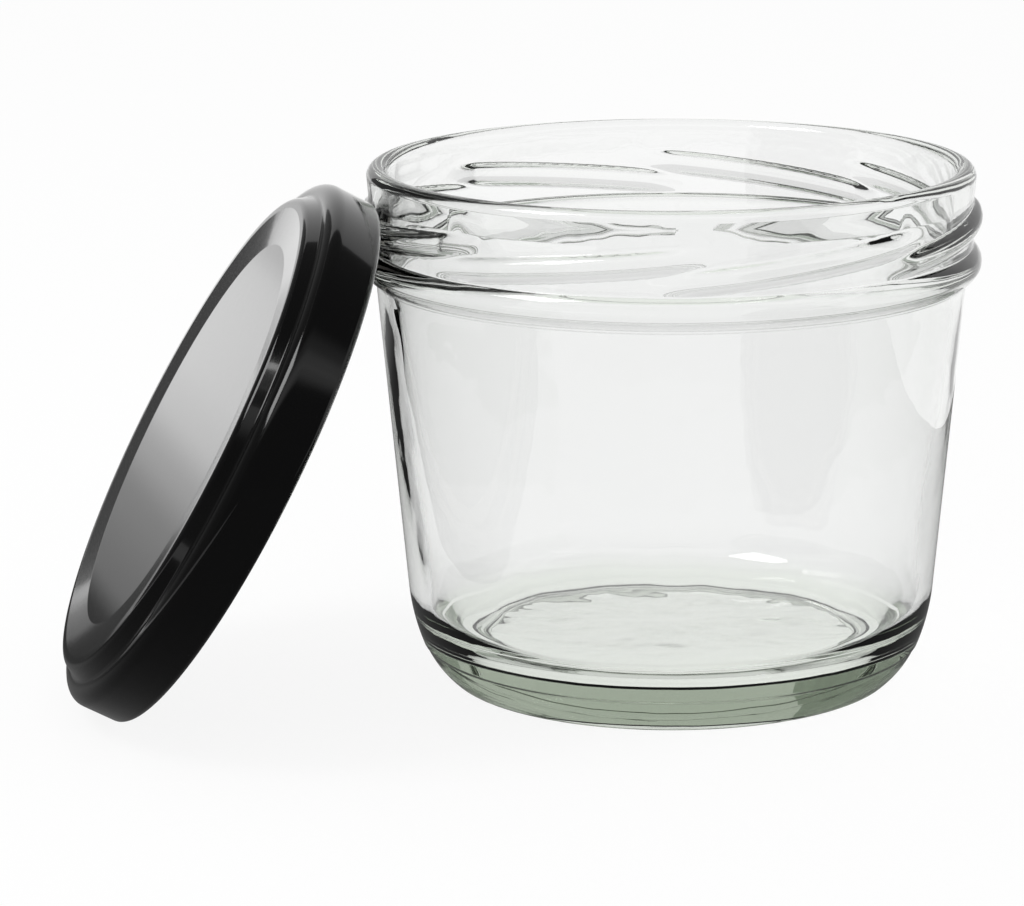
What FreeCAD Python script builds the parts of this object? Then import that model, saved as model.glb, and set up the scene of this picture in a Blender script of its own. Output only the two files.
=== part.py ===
# Low tumbler canning jar with its twist-off lid lying open against the neck.
# +Z is up, millimetres, origin on the jar's axis in the plane it stands on.
import FreeCAD
import Part
import math
import os

V = FreeCAD.Vector

# ---- jar: finish (mouth, neck and threads), heights counted down from the lip ----
jar_height = 68.4
lip_radius = 39.8
lip_round = 1.4
lip_overhang = 0.25
neck_wall = 2.55
bead_proud = 1.15
bead_section = 2.3
bead_drop = 12.5
parting_drop = 15.2
parting_step = 0.3

# ---- jar: threads ----
thread_starts = 8
thread_span = 60.0
thread_first_end = -81.0
thread_low_drop = 9.4
thread_high_drop = 5.5
thread_proud = 1.2
thread_section = 1.65
thread_sink = 1.3
thread_blunt = 4.5

# ---- jar: body, heel and base, radii counted in from the neck ----
shoulder_inset = 0.8
body_taper = 3.71
heel_height = 12.1
knee_inset = 1.79
knee_height = 4.6
baseplate_step = 0.15
foot_inset = 5.24
bearing_width = 2.3
push_up = 1.9
push_up_slope = 2.6
wall = 2.3
base_thickness = 4.6
inner_heel_radius = 6.5
inner_bottom_crown = 0.5
inner_shoulder_drop = 1.5

# ---- jar: places that follow ----
neck_radius = lip_radius - lip_overhang
bore_radius = neck_radius - neck_wall
bead_crest_radius = neck_radius + bead_proud
bead_height = jar_height - bead_drop
parting_height = jar_height - parting_drop
thread_crest_radius = neck_radius + thread_proud
thread_low = jar_height - thread_low_drop
thread_high = jar_height - thread_high_drop
shoulder_radius = neck_radius - shoulder_inset
waist_radius = shoulder_radius - body_taper
knee_radius = waist_radius - knee_inset
foot_radius = waist_radius - foot_inset

# ---- lid: pressed sheet, radii counted in from the skirt ----
# The lid is a size smaller than this jar's neck, so its radius is its own size.
lid_radius = 37.0
sheet = 0.26
shoulder_top = 7.35
shoulder_round = 2.0
valley_inset = 2.6
valley_height = 7.25
ring_inset = 3.8
ring_height = 9.1
ring_land = 1.3
bevel_width = 5.0
panel_height = 8.6
press_round = 0.55

# ---- lid: curled edge and lugs ----
curl_round = 0.9
lug_count = 8
lug_bow = 12.0
lug_depth = 1.55
lug_section = 0.78

# ---- lid: sealing compound ----
seal_inset = 4.6
seal_reach = 0.4
seal_thickness = 0.9
seat_clearance = 0.32

# ---- lid: how it leans ----
lean = 28.9
facing = 191.4
side_of_jar = 196.9
rest_clearance = 0.3

# ---- lid: places that follow ----
valley_radius = lid_radius - valley_inset
ring_radius = lid_radius - ring_inset
seal_inner_radius = lid_radius - seal_inset
seal_outer_radius = lid_radius - shoulder_round + seal_reach
seal_top = valley_height - sheet - seat_clearance
seal_low = seal_top - seal_thickness


def polar(radius, degrees, height):
    """Point at a radius, an angle round +Z and a height."""
    angle = math.radians(degrees)
    return V(radius * math.cos(angle), radius * math.sin(angle), height)


def section(radius, height):
    """Point of a half section, drawn in the XZ plane."""
    return V(radius, 0, height)


def rounded_run(corners):
    """Edges through corners (point, rounding), with an arc at each rounded one."""
    edges = []
    start = corners[0][0]
    for i in range(1, len(corners) - 1):
        point, radius = corners[i]
        back = (corners[i - 1][0] - point).normalize()
        ahead = (corners[i + 1][0] - point).normalize()
        half = back.getAngle(ahead) / 2
        if radius <= 0:
            edges.append(Part.makeLine(start, point))
            start = point
            continue
        reach = radius / math.tan(half)
        first = point + back * reach
        last = point + ahead * reach
        middle_way = (back + ahead).normalize()
        middle = point + middle_way * (radius / math.sin(half) - radius)
        if (first - start).Length > 1e-6:
            edges.append(Part.makeLine(start, first))
        edges.append(Part.Arc(first, middle, last).toShape())
        start = last
    if (corners[-1][0] - start).Length > 1e-6:
        edges.append(Part.makeLine(start, corners[-1][0]))
    return edges


def turned(edges):
    """Solid turned from a closed half section."""
    face = Part.Face(Part.Wire(edges))
    return face.revolve(V(0, 0, 0), V(0, 0, 1), 360)


def body_radius(height):
    """Outside radius of the tapered body at a height."""
    share = (height - heel_height) / (parting_height - heel_height)
    return waist_radius + (shoulder_radius - waist_radius) * share


def arc_from(start, inward, end):
    """Arc that leaves a point square to its inward direction and runs to another point."""
    chord = end - start
    radius = chord.dot(chord) / (2 * chord.dot(inward))
    centre = start + inward * radius
    middle = ((start + end) * 0.5 - centre).normalize()
    leaving = (centre - end).normalize()
    return Part.Arc(start, centre + middle * radius, end).toShape(), leaving


def heel_edges():
    """Heel in two arcs that meet at the baseplate line, from the foot up."""
    top = section(waist_radius, heel_height)
    taper = (section(shoulder_radius, parting_height) - top).normalize()
    knee = section(knee_radius, knee_height)
    foot = section(foot_radius, 0)
    upper, inward = arc_from(top, V(-taper.z, 0, taper.x), knee)
    ledge = knee - section(baseplate_step, 0)
    lower, foot_inward = arc_from(ledge, inward, foot)
    return [lower, Part.makeLine(ledge, knee), upper]


def blank():
    """The jar's outside turned as a solid block, with bead and lip but no thread."""
    foot_inner = foot_radius - bearing_width
    dome = foot_inner - push_up_slope
    under = rounded_run([
        (section(0, push_up), 0),
        (section(dome, push_up), push_up_slope),
        (section(foot_inner, 0), 0),
        (section(foot_radius, 0), 0),
    ])
    bead_centre = bead_crest_radius - bead_section
    rise = bead_height + math.sqrt(bead_section ** 2 - (neck_radius - bead_centre) ** 2)
    drop = bead_height - math.sqrt(
        bead_section ** 2 - (shoulder_radius + parting_step - bead_centre) ** 2
    )
    side = [
        Part.makeLine(section(waist_radius, heel_height), section(shoulder_radius, parting_height)),
        Part.makeLine(
            section(shoulder_radius, parting_height),
            section(shoulder_radius + parting_step, parting_height + parting_step / 2),
        ),
        Part.makeLine(
            section(shoulder_radius + parting_step, parting_height + parting_step / 2),
            section(shoulder_radius + parting_step, drop),
        ),
        Part.Arc(
            section(shoulder_radius + parting_step, drop),
            section(bead_crest_radius, bead_height),
            section(neck_radius, rise),
        ).toShape(),
    ]
    lip_low = jar_height - 3 * lip_round
    lip = [
        Part.makeLine(section(neck_radius, rise), section(neck_radius, lip_low)),
        Part.makeLine(
            section(neck_radius, lip_low), section(lip_radius, jar_height - lip_round)
        ),
        Part.Arc(
            section(lip_radius, jar_height - lip_round),
            section(
                lip_radius - lip_round + lip_round * math.cos(math.pi / 4),
                jar_height - lip_round + lip_round * math.sin(math.pi / 4),
            ),
            section(lip_radius - lip_round, jar_height),
        ).toShape(),
        Part.makeLine(section(lip_radius - lip_round, jar_height), section(0, jar_height)),
        Part.makeLine(section(0, jar_height), section(0, push_up)),
    ]
    return turned(under + heel_edges() + side + lip)


def ridge_point(start_angle, share):
    """Centre of a thread's round section, sunk into the wall at both run-outs."""
    sink = thread_sink * abs(2 * share - 1) ** thread_blunt
    radius = thread_crest_radius - thread_section - sink
    height = thread_low + (thread_high - thread_low) * share
    return polar(radius, start_angle + thread_span * share, height)


def swept_rod(points, radius):
    """Round rod along a smooth curve through the points."""
    curve = Part.BSplineCurve()
    curve.interpolate(points)
    spine = Part.Wire(curve.toShape())
    along = curve.tangent(curve.FirstParameter)[0]
    ring = Part.Wire(Part.makeCircle(radius, points[0], along))
    return spine.makePipeShell([ring], True, True)


def thread_starts_at(index):
    """Angle of the low end of one thread."""
    return thread_first_end - thread_span + 360.0 * index / thread_starts


def thread(index):
    """One of the thread's starts."""
    steps = 14
    start = thread_starts_at(index)
    points = [ridge_point(start, i / steps) for i in range(steps + 1)]
    return swept_rod(points, thread_section)


def cavity():
    """The room inside the jar, from the crowned bottom to above the mouth."""
    floor = push_up + base_thickness
    low = inner_heel_radius + floor
    slope = (shoulder_radius - waist_radius) / (parting_height - heel_height)
    outer_low = waist_radius + slope * (low - heel_height)
    neck_base = parting_height - inner_shoulder_drop
    inner_top = body_radius(neck_base) - wall
    mouth_low = jar_height - lip_round
    mouth = lip_radius - 2 * lip_round
    edges = rounded_run([
        (section(0, floor), 0),
        (section(outer_low - wall - inner_heel_radius, floor - inner_bottom_crown), 0.8),
        (section(outer_low - wall - 0.4, floor - inner_bottom_crown), inner_heel_radius),
        (section(inner_top, neck_base), 6.0),
        (section(bore_radius, bead_height + 1.0), 4.0),
        (section(mouth, mouth_low), 0.0),
    ])
    edges.append(
        Part.Arc(
            section(mouth, mouth_low),
            section(
                mouth + lip_round - lip_round * math.cos(math.pi / 4),
                mouth_low + lip_round * math.sin(math.pi / 4),
            ),
            section(mouth + lip_round, jar_height),
        ).toShape()
    )
    over = jar_height + 5
    edges.append(Part.makeLine(section(mouth + lip_round, jar_height), section(mouth + lip_round, over)))
    edges.append(Part.makeLine(section(mouth + lip_round, over), section(0, over)))
    edges.append(Part.makeLine(section(0, over), section(0, floor)))
    return turned(edges)


def make_jar():
    """Glass jar in one piece: tumbler body, bead, threads and rounded lip."""
    outside = blank()
    outside = outside.fuse([thread(i) for i in range(thread_starts)])
    return outside.cut(cavity())


def lid_line():
    """Corners of the lid's outer line, from the centre out to the curl, with roundings."""
    ring_inner = ring_radius - ring_land
    return [
        (section(0, panel_height), 0),
        (section(ring_inner - bevel_width, panel_height), 2.0),
        (section(ring_inner, ring_height), 2 * press_round),
        (section(ring_radius, ring_height), 2 * press_round),
        (section(valley_radius, valley_height), press_round),
        (section(lid_radius, shoulder_top), shoulder_round),
        (section(lid_radius, curl_round), 0),
    ]


def one_sheet_in(corners):
    """The same line one sheet thickness further in."""
    moved = []
    last = len(corners) - 1
    for i, (point, radius) in enumerate(corners):
        ahead = (corners[min(i + 1, last)][0] - corners[min(i, last - 1)][0]).normalize()
        back = (corners[max(i, 1)][0] - corners[max(i - 1, 0)][0]).normalize()
        side = V(-ahead.z, 0, ahead.x) + V(-back.z, 0, back.x)
        step = side * (-2 * sheet / side.Length ** 2)
        if radius > 0:
            bend = back.x * ahead.z - back.z * ahead.x
            radius += sheet if bend > 0 else -sheet
        moved.append((point + step, radius))
    return moved


def lid_section():
    """Closed half section of the pressed sheet, with its edge rolled into a tight curl."""
    outer = lid_line()
    inner = one_sheet_in(outer)
    centre = section(lid_radius - curl_round, curl_round)
    closing = math.acos((curl_round - sheet) / curl_round)

    def on_curl(angle):
        return centre + V(math.cos(angle), 0, math.sin(angle)) * curl_round

    inner[-1] = (on_curl(closing), 0)
    roll = closing - 2 * math.pi
    curl = Part.Arc(on_curl(0), on_curl(roll / 2), on_curl(roll)).toShape()
    axis = Part.makeLine(inner[0][0], outer[0][0])
    return rounded_run(outer) + [curl] + rounded_run(inner) + [axis]


def lug(index):
    """Lug: a short length of the curl bowed inward."""
    edge = lid_radius - curl_round
    pivot = edge - lug_depth + lug_bow
    half = math.acos((pivot ** 2 + lug_bow ** 2 - edge ** 2) / (2 * pivot * lug_bow))
    start = V(pivot - lug_bow, 0, curl_round)
    end_face = Part.Face(Part.Wire(Part.makeCircle(lug_section, start, V(0, 1, 0))))
    end_face.rotate(V(pivot, 0, 0), V(0, 0, 1), -math.degrees(half))
    rod = end_face.revolve(V(pivot, 0, 0), V(0, 0, 1), 2 * math.degrees(half))
    rod.rotate(V(0, 0, 0), V(0, 0, 1), 360.0 * index / lug_count)
    return rod


def lid_lying():
    """Lid with its open edge down on Z = 0."""
    shell = turned(Part.__sortEdges__(lid_section()))
    return shell.fuse([lug(i) for i in range(lug_count)])


def seal_lying():
    """Ring of sealing compound under the shoulder of the lid."""
    middle = (seal_inner_radius + seal_outer_radius) / 2
    return turned(rounded_run([
        (section(middle, seal_top), 0),
        (section(seal_outer_radius, seal_top), 0),
        (section(seal_outer_radius, seal_low), seal_thickness / 2),
        (section(seal_inner_radius, seal_low), seal_thickness / 2),
        (section(seal_inner_radius, seal_top), 0),
        (section(middle, seal_top), 0),
    ]))


def wall_radius(height):
    """Outside radius of the plain wall at a height."""
    if height > bead_height:
        return neck_radius
    return body_radius(height)


def lid_axes():
    """Way the lid faces, with its level and its upward direction."""
    out = polar(math.cos(math.radians(lean)), facing, math.sin(math.radians(lean)))
    level = V(0, 0, 1).cross(out).normalize()
    return out, level, out.cross(level)


def edge_clearance(centre):
    """Least gap between the lid's curled edge and the jar's wall, bead, lip and threads."""
    out, level, upward = lid_axes()
    reach = lid_radius - curl_round
    lip_centre = lip_radius - lip_round
    bead_centre = bead_crest_radius - bead_section
    ridges = []
    for i in range(thread_starts):
        ridges += [ridge_point(thread_starts_at(i), j / 24) for j in range(25)]
    least = 1000.0
    for k in range(240):
        angle = math.radians(1.5 * k)
        rim = level * (reach * math.cos(angle)) + upward * (reach * math.sin(angle))
        point = centre + out * curl_round + rim
        radius = math.hypot(point.x, point.y)
        if point.z < jar_height - lip_round:
            least = min(least, radius - wall_radius(point.z) - curl_round)
        lip = math.hypot(radius - lip_centre, point.z - jar_height + lip_round)
        bead = math.hypot(radius - bead_centre, point.z - bead_height)
        least = min(least, lip - lip_round - curl_round, bead - bead_section - curl_round)
        if radius < neck_radius + 8:
            near = min((point - ridge).Length for ridge in ridges)
            least = min(least, near - thread_section - curl_round)
    return least


def mouth_clearance(centre):
    """Least gap between the jar's lip and what lies inside the lid."""
    out, level, upward = lid_axes()
    least = 1000.0
    for k in range(240):
        lip = polar(lip_radius - lip_round, 1.5 * k, jar_height - lip_round) - centre
        depth = lip.dot(out)
        radius = math.hypot(lip.dot(level), lip.dot(upward))
        if radius < lid_radius + lip_round:
            ceiling = panel_height - sheet
            if radius > seal_inner_radius - lip_round:
                ceiling = seal_low
            least = min(least, ceiling - depth - lip_round)
    return least


def lid_place():
    """Placement that stands the lid on its edge and leans it on the neck."""
    out, level, upward = lid_axes()
    slope = math.radians(lean)
    reach = lid_radius - curl_round
    height = reach * math.cos(slope) + curl_round - curl_round * math.sin(slope)
    near = 0.0
    far = 3 * (lid_radius + lip_radius)
    for step in range(40):
        middle = (near + far) / 2
        place = polar(middle, side_of_jar, height)
        if min(edge_clearance(place), mouth_clearance(place)) < rest_clearance:
            near = middle
        else:
            far = middle
    centre = polar(far, side_of_jar, height)
    turn = FreeCAD.Rotation(level, upward, out, "ZXY")
    return FreeCAD.Placement(centre, turn)


def save(name, shape):
    """Write one node."""
    shape.exportStep("parts/" + name + ".step")


os.makedirs("parts", exist_ok=True)
save("jar", make_jar())
leaning = lid_place()
lid = lid_lying()
lid.Placement = leaning
save("lid", lid)
seal = seal_lying()
seal.Placement = leaning
save("seal", seal)
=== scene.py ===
import math

import bpy
import numpy as np
from mathutils import Matrix, Vector, noise


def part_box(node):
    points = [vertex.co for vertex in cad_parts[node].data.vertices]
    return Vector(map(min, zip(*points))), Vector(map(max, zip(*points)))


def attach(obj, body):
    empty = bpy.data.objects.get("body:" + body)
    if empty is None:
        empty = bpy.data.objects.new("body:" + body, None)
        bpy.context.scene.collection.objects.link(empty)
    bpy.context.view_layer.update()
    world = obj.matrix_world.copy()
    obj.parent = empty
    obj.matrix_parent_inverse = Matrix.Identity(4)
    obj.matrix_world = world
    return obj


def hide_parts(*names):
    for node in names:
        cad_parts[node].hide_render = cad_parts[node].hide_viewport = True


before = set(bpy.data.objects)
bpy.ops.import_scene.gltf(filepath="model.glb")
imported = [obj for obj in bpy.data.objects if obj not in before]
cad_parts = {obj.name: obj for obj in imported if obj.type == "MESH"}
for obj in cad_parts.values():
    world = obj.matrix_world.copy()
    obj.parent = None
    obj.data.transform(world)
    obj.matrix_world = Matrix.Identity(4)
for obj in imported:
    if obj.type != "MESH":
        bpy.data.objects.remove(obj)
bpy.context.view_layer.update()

MM = 0.001
TINY = 1e-6
SAME_POINT = 1e-5

# ---- jar, mm, heights counted down from the lip ----
lip_radius = 39.8
lip_round = 1.4
neck_radius = 39.55
bore_radius = 37.0
bead_crest = 40.7
bead_section = 2.3
bead_drop = 12.5
parting_drop = 15.2
parting_step = 0.3
inner_shoulder_drop = 1.5
thread_starts = 8
thread_span = 60.0
thread_first_end = -81.0
thread_low_drop = 9.4
thread_high_drop = 5.5
thread_crest = 40.75
thread_section = 1.65
thread_sink = 1.3
thread_blunt = 4.5
shoulder_radius = 38.75
waist_radius = 35.04
heel_height = 12.1
knee_radius = 33.25
knee_height = 4.6
baseplate_step = 0.15
foot_radius = 29.8
bearing_width = 2.3
push_up = 1.9
push_up_slope = 2.6
wall = 2.3
base_thickness = 4.6
inner_heel_radius = 6.5
inner_bottom_crown = 0.5
inner_heel_extra = 0.4
foot_round = 0.3
parting_round = 0.1
bore_rise = 1.0
bore_round = 4.0
inner_shoulder_round = 6.0
inner_floor_round = 0.8

# ---- what only the scene adds to the jar: soft threads, wavy glass ----
thread_blend = 0.35
thread_blend_reach = 1.2
thread_fade = 10.0
floor_wave = 0.08
floor_wave_fade = 3
broad_wave = 0.16
fine_wave = 0.4
fine_share = 0.4
wall_ripple = 0.22
ripple_fade = 8
ripple_start = 0.12
ripple_around = 3.1
ripple_upward = 0.035
jar_segments = 720
lid_segments = 360
seal_segments = 240

# ---- lid, mm ----
lid_radius = 37.0
sheet = 0.26
shoulder_top = 7.35
shoulder_round = 2.0
valley_radius = 34.4
valley_height = 7.25
ring_radius = 33.2
ring_height = 9.1
ring_land = 1.3
bevel_width = 5.0
panel_height = 8.6
panel_round = 2.0
press_round = 0.55
curl_round = 0.9
lug_count = 8
lug_bow = 12.0
lug_depth = 1.55
lug_section = 0.78
seal_inner_radius = 32.4
seal_outer = 35.4
seal_thickness = 0.9
seat_clearance = 0.32
lean = 28.9
facing = 191.4

jar_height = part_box("jar")[1][2] / MM
bead_height = jar_height - bead_drop
parting_height = jar_height - parting_drop
thread_low = jar_height - thread_low_drop
thread_high = jar_height - thread_high_drop


def rounded(corners, steps=8):
    """Points through corners (r, z, rounding), with an arc at each rounded one."""
    line = [np.array(corners[0][:2], float)]
    for i in range(1, len(corners) - 1):
        point = np.array(corners[i][:2], float)
        radius = corners[i][2]
        if radius <= 0:
            line.append(point)
            continue
        back = np.array(corners[i - 1][:2], float) - point
        ahead = np.array(corners[i + 1][:2], float) - point
        back /= np.linalg.norm(back)
        ahead /= np.linalg.norm(ahead)
        half = math.acos(max(-1.0, min(1.0, float(back @ ahead)))) / 2
        middle = (back + ahead) / np.linalg.norm(back + ahead)
        centre = point + middle * radius / math.sin(half)
        first = point + back * radius / math.tan(half) - centre
        last = point + ahead * radius / math.tan(half) - centre
        start = math.atan2(first[1], first[0])
        turn = math.atan2(last[1], last[0]) - start
        turn = (turn + math.pi) % (2 * math.pi) - math.pi
        for k in range(steps + 1):
            angle = start + turn * k / steps
            line.append(centre + radius * np.array([math.cos(angle), math.sin(angle)]))
    line.append(np.array(corners[-1][:2], float))
    return line


def arc(centre, radius, start, end, steps):
    """Points on an arc in the half section, angles in radians."""
    out = []
    for k in range(steps + 1):
        angle = start + (end - start) * k / steps
        out.append(np.array(centre) + radius * np.array([math.cos(angle), math.sin(angle)]))
    return out


def arc_from(start, inward, end, steps):
    """Points on the arc that leaves start square to its inward direction and ends at end."""
    chord = end - start
    radius = float(chord @ chord) / (2 * float(chord @ inward))
    centre = start + inward * radius
    first = math.atan2(*(start - centre)[::-1])
    last = math.atan2(*(end - centre)[::-1])
    return arc(centre, radius, first, last, steps), (centre - end) / radius


def spaced(line, step):
    """The same line with no stretch longer than step."""
    out = [line[0]]
    for point in line[1:]:
        gap = float(np.linalg.norm(point - out[-1]))
        if gap < TINY:
            continue
        count = max(1, math.ceil(gap / step))
        start = out[-1]
        for k in range(1, count + 1):
            out.append(start + (point - start) * k / count)
    return out


def turned(name, line, around, shape=None):
    """Mesh turned from a line that starts and ends on the axis, or from a closed line."""
    open_line = line[0][0] < TINY
    ring = line[1:-1] if open_line else line
    angles = np.linspace(0, 2 * math.pi, around, endpoint=False)
    radii = np.array([p[0] for p in ring])[:, None] * np.ones(around)
    heights = np.array([p[1] for p in ring])[:, None] * np.ones(around)
    if shape:
        radii, heights = shape(radii, heights, angles)
    x = radii * np.cos(angles)
    y = radii * np.sin(angles)
    verts = np.stack([x, y, heights], -1).reshape(-1, 3).tolist()
    faces = []
    rows = len(ring)
    for i in range(rows if not open_line else rows - 1):
        here = i * around
        there = ((i + 1) % rows) * around
        for j in range(around):
            k = (j + 1) % around
            faces.append((here + j, here + k, there + k, there + j))
    if open_line:
        low = len(verts)
        verts.append([0, 0, float(line[0][1])])
        verts.append([0, 0, float(line[-1][1])])
        last = (rows - 1) * around
        for j in range(around):
            k = (j + 1) % around
            faces.append((low, k, j))
            faces.append((low + 1, last + j, last + k))
    mesh = bpy.data.meshes.new(name)
    mesh.from_pydata([[c * MM for c in v] for v in verts], [], faces)
    mesh.validate()
    mesh.shade_smooth()
    obj = bpy.data.objects.new(name, mesh)
    bpy.context.collection.objects.link(obj)
    return obj


# ---- jar ----


def body_radius(height):
    """Radius of the tapered body at a height."""
    share = (height - heel_height) / (parting_height - heel_height)
    return waist_radius + (shoulder_radius - waist_radius) * share


def outside_line():
    """Half section of the jar's outside, from the axis to the top of the lip."""
    foot_inner = foot_radius - bearing_width
    line = rounded([
        (0, push_up, 0),
        (foot_inner - push_up_slope, push_up, push_up_slope),
        (foot_inner, 0, foot_round),
        (foot_radius, 0, 0),
    ])
    top = np.array([waist_radius, heel_height])
    taper = np.array([shoulder_radius, parting_height]) - top
    taper /= np.linalg.norm(taper)
    knee = np.array([knee_radius, knee_height])
    ledge = knee - np.array([baseplate_step, 0])
    upper, inward = arc_from(top, np.array([-taper[1], taper[0]]), knee, 24)
    lower = arc_from(ledge, inward, np.array([foot_radius, 0.0]), 16)[0]
    line += lower[::-1] + [knee] + upper[::-1]
    bead_centre = bead_crest - bead_section
    rise = math.acos((neck_radius - bead_centre) / bead_section)
    ledge = shoulder_radius + parting_step
    drop = math.acos((ledge - bead_centre) / bead_section)
    line += rounded([
        (waist_radius, heel_height, 0),
        (shoulder_radius, parting_height, parting_round),
        (ledge, parting_height + parting_step / 2, parting_round),
        (ledge, bead_height - bead_section * math.sin(drop), 0),
    ], 4)
    line += arc((bead_centre, bead_height), bead_section, -drop, rise, 24)
    line += spaced([line[-1], np.array([neck_radius, jar_height - 3 * lip_round])], 0.2)[1:]
    line.append(np.array([lip_radius, jar_height - lip_round]))
    line += arc((lip_radius - lip_round, jar_height - lip_round), lip_round, 0, math.pi / 2, 12)[1:]
    return line


def inside_line():
    """Half section of the jar's inside, from the top of the lip down to the axis."""
    floor = push_up + base_thickness
    bottom_edge = floor - inner_bottom_crown
    low = inner_heel_radius + floor
    slope = (shoulder_radius - waist_radius) / (parting_height - heel_height)
    outer_low = waist_radius + slope * (low - heel_height)
    neck_base = parting_height - inner_shoulder_drop
    mouth = lip_radius - 2 * lip_round
    line = arc((mouth + lip_round, jar_height - lip_round), lip_round, math.pi / 2, math.pi, 12)
    line += rounded([
        (mouth, jar_height - lip_round, 0),
        (bore_radius, bead_height + bore_rise, bore_round),
        (body_radius(neck_base) - wall, neck_base, inner_shoulder_round),
        (outer_low - wall - inner_heel_extra, bottom_edge, inner_heel_radius),
        (outer_low - wall - inner_heel_radius, bottom_edge, inner_floor_round),
        (0, floor, 0),
    ], 16)[1:]
    return spaced(line, 1.2)


def with_threads(radii, heights, angles):
    """Threads raised on the neck's outside, with a ripple and a wave on the inside."""
    outside = count_outside
    turn = np.degrees(angles)[None, :]
    for i in range(thread_starts):
        start = thread_first_end - thread_span + 360.0 * i / thread_starts
        share = ((turn - start) % 360.0) / thread_span
        on = share <= 1.0
        sink = thread_sink * np.abs(2 * share - 1) ** thread_blunt
        centre = thread_crest - thread_section - sink
        middle = thread_low + (thread_high - thread_low) * share
        inside = thread_section ** 2 - (heights[:outside] - middle) ** 2
        crest = centre + np.sqrt(np.clip(inside, 0, None))
        crest = np.where(on & (inside > 0), crest, 0)
        base = radii[:outside]
        tips = np.clip(np.minimum(share, 1 - share) * thread_span / thread_fade, 0, 1)
        gap = crest - base
        soft = base + (gap + np.sqrt(gap ** 2 + thread_blend ** 2)) / 2
        lift = np.where(gap > -thread_blend_reach, soft - thread_blend ** 2 / 8, base)
        radii[:outside] = np.where(crest > 0, base + np.maximum(lift - base, 0) * tips, base)
    low = jar_height * ripple_start
    high = bead_height
    floor_edge = waist_radius - wall - inner_heel_radius
    wave_edge = floor_edge + floor_wave_fade
    for i in range(outside, radii.shape[0]):
        height = heights[i, 0]
        if height < low and radii[i, 0] < wave_edge:
            from_edge = (wave_edge - radii[i, 0]) / floor_wave_fade
            fade = min(1.0, from_edge, radii[i, 0] / floor_wave_fade)
            for j in range(radii.shape[1]):
                x = radii[i, 0] * math.cos(angles[j])
                y = radii[i, 0] * math.sin(angles[j])
                broad = noise.noise((x * broad_wave, y * broad_wave, 2.0))
                fine = fine_share * noise.noise((x * fine_wave, y * fine_wave, 7.0))
                heights[i, j] += floor_wave * fade * (broad + fine)
        if low < height < high:
            fade = min(1.0, (height - low) / ripple_fade, (high - height) / ripple_fade)
            for j in range(radii.shape[1]):
                place = (
                    math.cos(angles[j]) * ripple_around,
                    math.sin(angles[j]) * ripple_around,
                    height * ripple_upward,
                )
                radii[i, j] += wall_ripple * fade * noise.noise(place)
    return radii, heights


def without_repeats(line):
    """The same points without any that repeats the one before it."""
    kept = []
    for point in line:
        if not kept or float(np.linalg.norm(point - kept[-1])) > SAME_POINT:
            kept.append(point)
    return kept


outer = without_repeats(outside_line())
inner = without_repeats(inside_line())
count_outside = len(outer) - 1
jar = turned("jar_glass", outer + inner[1:], jar_segments, with_threads)

# ---- lid ----


def lid_line():
    """Half section of the lid's outside, from the middle of the panel to the curl."""
    ring_inner = ring_radius - ring_land
    return [
        (0, panel_height, 0),
        (ring_inner - bevel_width, panel_height, panel_round),
        (ring_inner, ring_height, 2 * press_round),
        (ring_radius, ring_height, 2 * press_round),
        (valley_radius, valley_height, press_round),
        (lid_radius, shoulder_top, shoulder_round),
        (lid_radius, curl_round, 0),
    ]


def one_sheet_in(corners):
    """The same line one sheet thickness further in."""
    points = [np.array(c[:2], float) for c in corners]
    moved = []
    last = len(points) - 1
    for i, point in enumerate(points):
        ahead = points[min(i + 1, last)] - points[min(i, last - 1)]
        back = points[max(i, 1)] - points[max(i - 1, 0)]
        ahead /= np.linalg.norm(ahead)
        back /= np.linalg.norm(back)
        side = np.array([-ahead[1], ahead[0]]) + np.array([-back[1], back[0]])
        step = side * (-2 * sheet / float(side @ side))
        radius = corners[i][2]
        if radius > 0:
            bend = back[0] * ahead[1] - back[1] * ahead[0]
            radius += sheet if bend > 0 else -sheet
        place = point + step
        moved.append((place[0], place[1], radius))
    return moved


def lid_section():
    """Closed half section of the lid: out over the top, round the curl, back inside."""
    closing = math.acos((curl_round - sheet) / curl_round)
    centre = (lid_radius - curl_round, curl_round)
    line = rounded(lid_line(), 10)
    line += arc(centre, curl_round, 0, closing - 2 * math.pi, 28)[1:]
    inner_line = rounded(one_sheet_in(lid_line())[:-1] + [tuple(line[-1]) + (0,)], 8)
    return line + inner_line[::-1][1:]


out = Vector((
    math.cos(math.radians(lean)) * math.cos(math.radians(facing)),
    math.cos(math.radians(lean)) * math.sin(math.radians(facing)),
    math.sin(math.radians(lean)),
))
level = Vector((0, 0, 1)).cross(out).normalized()
upward = out.cross(level)


def middle_along(axis, points):
    """Middle of the points' reach along an axis."""
    reach = [p.dot(axis) for p in points]
    return (min(reach) + max(reach)) / 2


lid_points = [v.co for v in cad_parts["lid"].data.vertices]
seat = (
    level * middle_along(level, lid_points)
    + upward * middle_along(upward, lid_points)
    + out * min(p.dot(out) for p in lid_points)
)
leaning = Matrix((
    (level.x, upward.x, out.x, seat.x),
    (level.y, upward.y, out.y, seat.y),
    (level.z, upward.z, out.z, seat.z),
    (0, 0, 0, 1),
))


def place_lid_part(obj):
    """Moves a piece from the lid's own axes to where the lid leans."""
    obj.data.transform(leaning)
    obj.data.update()
    return obj


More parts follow.
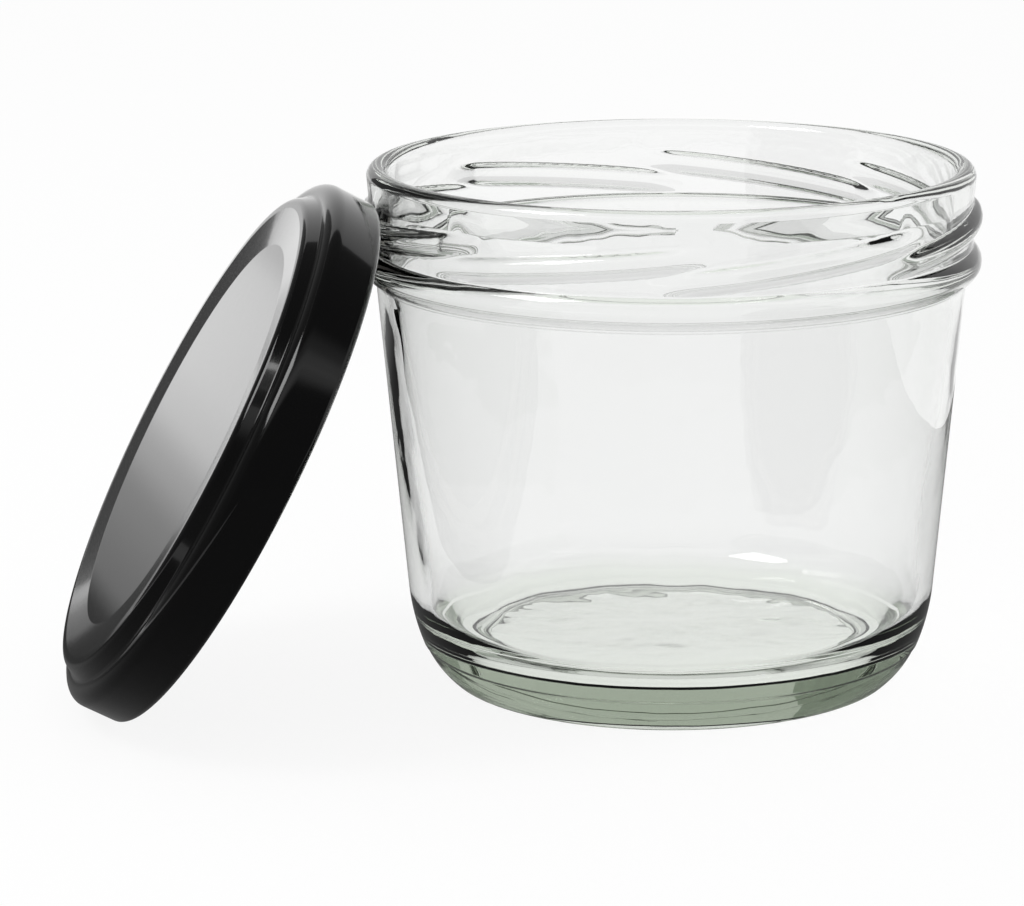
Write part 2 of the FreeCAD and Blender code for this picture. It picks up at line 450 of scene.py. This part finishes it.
def lug_mesh(index):
    """Short bowed length of the curl."""
    edge = lid_radius - curl_round
    pivot = edge - lug_depth + lug_bow
    half = math.acos((pivot ** 2 + lug_bow ** 2 - edge ** 2) / (2 * pivot * lug_bow))
    along = 24
    about = 16
    spin = 2 * math.pi * index / lug_count
    verts = []
    faces = []
    for i in range(along + 1):
        sweep = -half + 2 * half * i / along
        for j in range(about):
            angle = 2 * math.pi * j / about
            reach = lug_bow + lug_section * math.cos(angle)
            x = pivot - reach * math.cos(sweep)
            y = reach * math.sin(sweep)
            z = curl_round + lug_section * math.sin(angle)
            verts.append((
                (x * math.cos(spin) - y * math.sin(spin)) * MM,
                (x * math.sin(spin) + y * math.cos(spin)) * MM,
                z * MM,
            ))
    for i in range(along):
        for j in range(about):
            k = (j + 1) % about
            faces.append((i * about + j, i * about + k, (i + 1) * about + k, (i + 1) * about + j))
    mesh = bpy.data.meshes.new("lug_%d" % (index + 1))
    mesh.from_pydata(verts, [], faces)
    mesh.shade_smooth()
    obj = bpy.data.objects.new("lid_lug_%d" % (index + 1), mesh)
    bpy.context.collection.objects.link(obj)
    return obj


lid = place_lid_part(turned("lid_pressing", lid_section(), lid_segments))
lugs = [place_lid_part(lug_mesh(i)) for i in range(lug_count)]

seal_top = valley_height - sheet - seat_clearance
seal_low = seal_top - seal_thickness
seal_line = rounded([
    ((seal_inner_radius + seal_outer) / 2, seal_top, 0),
    (seal_outer, seal_top, 0),
    (seal_outer, seal_low, seal_thickness / 2),
    (seal_inner_radius, seal_low, seal_thickness / 2),
    (seal_inner_radius, seal_top, 0),
    ((seal_inner_radius + seal_outer) / 2, seal_top, 0),
])[:-1]
seal = place_lid_part(turned("seal_ring", seal_line[::-1], seal_segments))

# ---- materials ----


def material(name):
    """New node material, with its tree and its Principled shader."""
    mat = bpy.data.materials.new(name)
    mat.use_nodes = True
    tree = mat.node_tree
    shader = tree.nodes["Principled BSDF"]
    return mat, tree, shader


def bump(tree, shader, scale, strength, distance, detail=2.0):
    """Fine relief from noise in the object's own space."""
    where = tree.nodes.new("ShaderNodeTexCoord")
    grain = tree.nodes.new("ShaderNodeTexNoise")
    grain.inputs["Scale"].default_value = scale
    grain.inputs["Detail"].default_value = detail
    relief = tree.nodes.new("ShaderNodeBump")
    relief.inputs["Strength"].default_value = strength
    relief.inputs["Distance"].default_value = distance
    tree.links.new(where.outputs["Object"], grain.inputs["Vector"])
    tree.links.new(grain.outputs["Fac"], relief.inputs["Height"])
    tree.links.new(relief.outputs["Normal"], shader.inputs["Normal"])


# greener glass in the thick heel, clear above it; heights in mm
heel_tint_low = 3.0
heel_tint_high = 9.0
# sockets of a colour Mix node, which share their names with its other kinds
MIX_FACTOR, MIX_FIRST, MIX_SECOND, MIX_RESULT = 0, 6, 7, 2

glass, tree, shader = material("clear_glass")
shader.inputs["Roughness"].default_value = 0.0
shader.inputs["IOR"].default_value = 1.52
shader.inputs["Transmission Weight"].default_value = 1.0
bump(tree, shader, scale=110.0, strength=0.17, distance=0.0005, detail=1.5)
where = tree.nodes.new("ShaderNodeTexCoord")
split = tree.nodes.new("ShaderNodeSeparateXYZ")
rise = tree.nodes.new("ShaderNodeMapRange")
rise.interpolation_type = "SMOOTHSTEP"
rise.inputs["From Min"].default_value = heel_tint_low * MM
rise.inputs["From Max"].default_value = heel_tint_high * MM
thick_to_thin = tree.nodes.new("ShaderNodeMix")
thick_to_thin.data_type = "RGBA"
thick_to_thin.inputs[MIX_FIRST].default_value = (0.95, 0.985, 0.93, 1)
thick_to_thin.inputs[MIX_SECOND].default_value = (0.99, 0.99, 0.993, 1)
tree.links.new(where.outputs["Object"], split.inputs[0])
tree.links.new(split.outputs["Z"], rise.inputs["Value"])
tree.links.new(rise.outputs["Result"], thick_to_thin.inputs[MIX_FACTOR])
tree.links.new(thick_to_thin.outputs[MIX_RESULT], shader.inputs["Base Color"])
absorb = tree.nodes.new("ShaderNodeVolumeAbsorption")
absorb.inputs["Color"].default_value = (0.52, 0.585, 0.48, 1)
absorb.inputs["Density"].default_value = 26.0
tree.links.new(absorb.outputs["Volume"], tree.nodes["Material Output"].inputs["Volume"])

lacquer, tree, shader = material("black_lacquer")
shader.inputs["Base Color"].default_value = (0.0012, 0.0012, 0.0013, 1)
shader.inputs["Roughness"].default_value = 0.12
shader.inputs["IOR"].default_value = 1.5
shader.inputs["Specular IOR Level"].default_value = 0.17
shader.inputs["Coat Weight"].default_value = 1.0
shader.inputs["Coat Roughness"].default_value = 0.05
shader.inputs["Coat IOR"].default_value = 1.28
bump(tree, shader, scale=700.0, strength=0.03, distance=0.0002)

compound, tree, shader = material("seal_compound")
shader.inputs["Base Color"].default_value = (0.62, 0.60, 0.56, 1)
shader.inputs["Roughness"].default_value = 0.55
bump(tree, shader, scale=900.0, strength=0.1, distance=0.0002)

jar.data.materials.append(glass)
lid.data.materials.append(lacquer)
seal.data.materials.append(compound)
for lug in lugs:
    lug.data.materials.append(lacquer)

for piece in [jar, lid, seal] + lugs:
    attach(piece, "root")
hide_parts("jar")
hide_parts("lid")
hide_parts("seal")
# clear glass throws no dark shadow from the lamp
jar.visible_shadow = False

# ---- floor ----


def plane(name, width, depth, place, turn=(0, 0, 0)):
    """Flat stage piece that faces along its own Z."""
    mesh = bpy.data.meshes.new(name)
    w, d = width / 2, depth / 2
    mesh.from_pydata([(-w, -d, 0), (w, -d, 0), (w, d, 0), (-w, d, 0)], [], [(0, 1, 2, 3)])
    obj = bpy.data.objects.new(name, mesh)
    obj.location = place
    obj.rotation_euler = turn
    bpy.context.collection.objects.link(obj)
    return obj


def seen_directly(nodes, links):
    """One for the eye, for a mirror image and through glass, nought otherwise."""
    path = nodes.new("ShaderNodeLightPath")
    mirrored = nodes.new("ShaderNodeMath")
    mirrored.operation = "ADD"
    through = nodes.new("ShaderNodeMath")
    through.operation = "ADD"
    through.use_clamp = True
    links.new(path.outputs["Is Camera Ray"], mirrored.inputs[0])
    links.new(path.outputs["Is Glossy Ray"], mirrored.inputs[1])
    links.new(mirrored.outputs[0], through.inputs[0])
    links.new(path.outputs["Is Transmission Ray"], through.inputs[1])
    return through.outputs[0]


def backdrop_white(name, kept_shadow):
    """White ground that shows white to the eye, to metal and to glass, with the shadow kept."""
    mat = bpy.data.materials.new(name)
    mat.use_nodes = True
    nodes = mat.node_tree.nodes
    links = mat.node_tree.links
    nodes.remove(nodes["Principled BSDF"])
    seen = seen_directly(nodes, links)
    share = nodes.new("ShaderNodeMath")
    share.operation = "MULTIPLY"
    share.inputs[1].default_value = 1.0 - kept_shadow
    links.new(seen, share.inputs[0])
    diffuse = nodes.new("ShaderNodeBsdfDiffuse")
    diffuse.inputs["Color"].default_value = (0.9, 0.9, 0.9, 1)
    glow = nodes.new("ShaderNodeEmission")
    glow.inputs["Strength"].default_value = 1.0
    mix = nodes.new("ShaderNodeMixShader")
    links.new(share.outputs[0], mix.inputs["Fac"])
    links.new(diffuse.outputs[0], mix.inputs[1])
    links.new(glow.outputs[0], mix.inputs[2])
    links.new(mix.outputs[0], nodes["Material Output"].inputs["Surface"])
    return mat


floor = plane("floor", 8.0, 8.0, (0, 0, -0.0002))
floor.data.materials.append(backdrop_white("floor_white", kept_shadow=0.11))

# ---- world and lamps ----

world = bpy.data.worlds.new("studio")
bpy.context.scene.world = world
world.use_nodes = True
nodes = world.node_tree.nodes
links = world.node_tree.links
ambient = nodes["Background"]
ambient.inputs["Color"].default_value = (0.9, 0.9, 0.9, 1)
ambient.inputs["Strength"].default_value = 0.9
seen_white = nodes.new("ShaderNodeBackground")
seen_white.inputs["Strength"].default_value = 1.0
mix = nodes.new("ShaderNodeMixShader")
links.new(seen_directly(nodes, links), mix.inputs["Fac"])
links.new(ambient.outputs[0], mix.inputs[1])
links.new(seen_white.outputs[0], mix.inputs[2])
links.new(mix.outputs[0], nodes["World Output"].inputs["Surface"])


def soft_box(name, place, aim, width, height, power):
    """Area lamp turned to a point, not seen through the glass."""
    light = bpy.data.lights.new(name, "AREA")
    light.shape = "RECTANGLE"
    light.size = width
    light.size_y = height
    light.energy = power
    obj = bpy.data.objects.new(name, light)
    obj.location = place
    obj.rotation_euler = (Vector(aim) - Vector(place)).to_track_quat("-Z", "Y").to_euler()
    obj.visible_transmission = False
    bpy.context.collection.objects.link(obj)


soft_box("key", (-0.55, -0.25, 0.75), (0, 0, 0.04), width=0.35, height=0.35, power=3.0)

# grey cards beside the set, seen only through the glass, which darken its edges
card_dark = bpy.data.materials.new("card_dark")
card_dark.use_nodes = True
card_shader = card_dark.node_tree.nodes["Principled BSDF"]
card_shader.inputs["Base Color"].default_value = (0.50, 0.54, 0.49, 1)
card_shader.inputs["Roughness"].default_value = 0.9
card_shader.inputs["Specular IOR Level"].default_value = 0.0


def dark_card(name, width, height, place, turn):
    """Card that shows only through the glass."""
    card = plane(name, width, height, place, turn)
    card.data.materials.append(card_dark)
    card.visible_camera = False
    card.visible_diffuse = False
    card.visible_glossy = False
    card.visible_shadow = False


quarter = math.pi / 2
dark_card("card_right", 0.8, 1.4, (0.85, 0.1, 0.3), (0, quarter, 0))
dark_card("card_left", 0.8, 2.0, (-0.55, 0.4, 0.3), (0, quarter, 0))


def card_shades(name, stops):
    """Shades along a card's own length, from pairs of place in metres and shade."""
    mat = bpy.data.materials.new(name)
    mat.use_nodes = True
    nodes = mat.node_tree.nodes
    links = mat.node_tree.links
    nodes.remove(nodes["Principled BSDF"])
    where = nodes.new("ShaderNodeTexCoord")
    split = nodes.new("ShaderNodeSeparateXYZ")
    ramp = nodes.new("ShaderNodeValToRGB")
    spread = nodes.new("ShaderNodeMapRange")
    spread.inputs["From Min"].default_value = stops[0][0]
    spread.inputs["From Max"].default_value = stops[-1][0]
    length = stops[-1][0] - stops[0][0]
    ramp.color_ramp.interpolation = "EASE"
    marks = ramp.color_ramp.elements
    while len(marks) < len(stops):
        marks.new(0.5)
    for mark, (place, shade) in zip(marks, stops):
        mark.position = (place - stops[0][0]) / length
        mark.color = (shade, shade, shade, 1)
    glow = nodes.new("ShaderNodeEmission")
    links.new(where.outputs["Object"], split.inputs[0])
    links.new(split.outputs["Y"], spread.inputs["Value"])
    links.new(spread.outputs["Result"], ramp.inputs["Fac"])
    links.new(ramp.outputs["Color"], glow.inputs["Color"])
    links.new(glow.outputs[0], nodes["Material Output"].inputs["Surface"])
    return mat


def gloss_card(name, width, depth, place, turn, stops):
    """Card that shows only as a mirror image, a painted reflection."""
    card = plane(name, width, depth, place, turn)
    card.data.materials.append(card_shades(name, stops))
    card.visible_camera = False
    card.visible_diffuse = False
    card.visible_transmission = False
    card.visible_shadow = False


# painted reflection of the table in the lid: an emitting card seen only in mirrors, dark near the
# lid and brighter than white far behind it
gloss_card(
    "card_painted_table_reflection", 0.44, 4.5, (-0.638, 1.128, -0.0001), (0, 0, math.radians(25.5)),
    [
        (-1.26, 0.13), (-1.20, 0.05), (-1.14, 0.06), (-1.085, 0.28),
        (-0.93, 0.365), (-0.79, 0.62), (-0.59, 1.02), (-0.25, 1.15),
    ],
)
# painted reflections of walls and ceiling: emitting cards mirrored by the lid's skirt, shoulder and
# ring, dark but for the edges where wall and ceiling meet, which paint the highlight patch on the
# skirt
painted_dark_reflection = [(-0.2, 0.15), (0.5, 0.14)]
painted_highlight_top = [(-0.2, 0.12), (0.16, 0.12), (0.38, 0.80), (0.54, 1.0)]
painted_highlight_edge = [(-0.95, 1.0), (-0.72, 0.85), (-0.50, 0.40), (-0.25, 0.11), (0.5, 0.11)]
gloss_card("card_painted_wall_reflection", 3.0, 1.1, (0.2, -0.8, 0.55), (quarter, 0, 0), painted_highlight_top)
# painted dark reflection at the lid's side
gloss_card("card_painted_side_reflection", 1.5, 2.5, (-0.8, 0.25, 0.75), (0, quarter, 0), painted_dark_reflection)
gloss_card("card_painted_ceiling_reflection", 2.2, 2.0, (0.45, -0.1, 1.25), (0, 0, 0), painted_highlight_edge)

# ---- camera ----

tilt_down = 0.2366
camera = bpy.data.cameras.new("camera")
camera.sensor_width = 36.0
camera.lens = 135.72
camera.shift_x = -0.1317
camera.shift_y = 0.0190
camera.clip_start = 0.01
eye = bpy.data.objects.new("camera", camera)
eye.location = (-0.0032, -0.500, 0.14715)
eye.rotation_euler = (math.pi / 2 - tilt_down, 0, 0)
bpy.context.collection.objects.link(eye)
bpy.context.scene.camera = eye

view = bpy.context.scene.view_settings
view.view_transform = "Standard"
